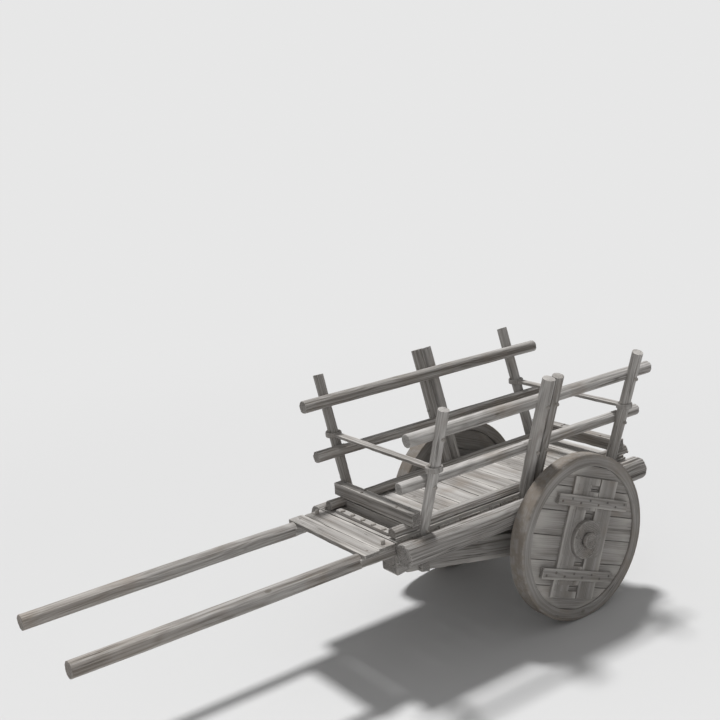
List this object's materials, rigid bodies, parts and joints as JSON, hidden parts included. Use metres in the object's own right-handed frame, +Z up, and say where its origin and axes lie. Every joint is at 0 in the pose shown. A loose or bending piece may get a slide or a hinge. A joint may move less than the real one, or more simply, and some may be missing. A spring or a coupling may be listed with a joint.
{
  "type": "hand cart",
  "caption": "Two-wheeled hand cart with solid plank wheels, long round pull shafts, a plank deck and open pole sides on leaning stakes.",
  "frame": {"origin": "on the ground, halfway between the shaft tips and the rear ends of the rails, on the middle line of the cart", "axes": "+X forward along the pull shafts, +Y to the cart's left (the side nearer the camera in the picture), +Z up"},
  "size_m": [3.367, 1.1876, 1.3782],
  "materials": {
    "pole_wood": "weathered round poles, grey, dull",
    "log_wood": "weathered log, grey, dull",
    "plank_wood": "weathered sawn planks, grey, dull",
    "beam_wood": "weathered hewn timber, darker grey, dull",
    "wheel_wood": "weathered wheel timber, grey, worn tread",
    "peg_wood": "whittled pegs, worn",
    "nail_iron": "forged iron, dark and dull"
  },
  "bodies": {
    "cart": {"shaft_left": "pole_wood", "shaft_right": "pole_wood", "sill_pole_left": "pole_wood", "sill_pole_right": "pole_wood", "rail_upper_left": "pole_wood", "rail_upper_right": "pole_wood", "rail_lower_left": "pole_wood", "rail_lower_right": "pole_wood", "stake_front_left": "pole_wood", "stake_front_right": "pole_wood", "stake_mid_front_left": "pole_wood", "stake_mid_front_right": "pole_wood", "stake_mid_rear_left": "pole_wood", "stake_mid_rear_right": "pole_wood", "stake_rear_left": "pole_wood", "stake_rear_right": "pole_wood", "side_log_left": "log_wood", "side_log_right": "log_wood", "footboard_front": "plank_wood", "footboard_rear": "plank_wood", "ledger_strip": "plank_wood", "threshold_board": "plank_wood", "deck_boards": "plank_wood", "side_lath_left": "plank_wood", "side_lath_right": "plank_wood", "tie_bar_front": "plank_wood", "tie_bar_rear": "plank_wood", "end_block_front": "beam_wood", "end_block_rear": "beam_wood", "front_block_left": "beam_wood", "front_block_right": "beam_wood", "bearer_left": "beam_wood", "bearer_right": "beam_wood", "bearer_tie": "beam_wood", "axle_bolster": "beam_wood", "axle": "beam_wood", "axle_cap_left": "beam_wood", "axle_cap_right": "beam_wood", "footboard_pegs": "peg_wood", "ledger_pegs": "peg_wood", "sill_pins": "peg_wood", "tie_bar_pins": "peg_wood", "rail_pins": "peg_wood", "stake_pegs_left": "peg_wood", "stake_pegs_right": "peg_wood", "footboard_nails": "nail_iron", "end_block_nails": "nail_iron"},
    "wheel_left": {"wheel_left_rim": "wheel_wood", "wheel_left_planks": "wheel_wood", "wheel_left_boards": "wheel_wood", "wheel_left_battens": "wheel_wood", "wheel_left_nails": "nail_iron", "wheel_left_nave": "wheel_wood"},
    "wheel_right": {"wheel_right_rim": "wheel_wood", "wheel_right_planks": "wheel_wood", "wheel_right_boards": "wheel_wood", "wheel_right_battens": "wheel_wood", "wheel_right_nails": "nail_iron", "wheel_right_nave": "wheel_wood"}
  },
  "joints": [
    {"name": "wheel_left_turn", "type": "hinge", "parent": "cart", "child": "wheel_left", "pos_m": [-1.0425, 0.492, 0.45], "axis": [0, 1, 0], "continuous": true},
    {"name": "wheel_right_turn", "type": "hinge", "parent": "cart", "child": "wheel_right", "pos_m": [-1.0425, -0.492, 0.45], "axis": [0, 1, 0], "continuous": true}
  ]
}
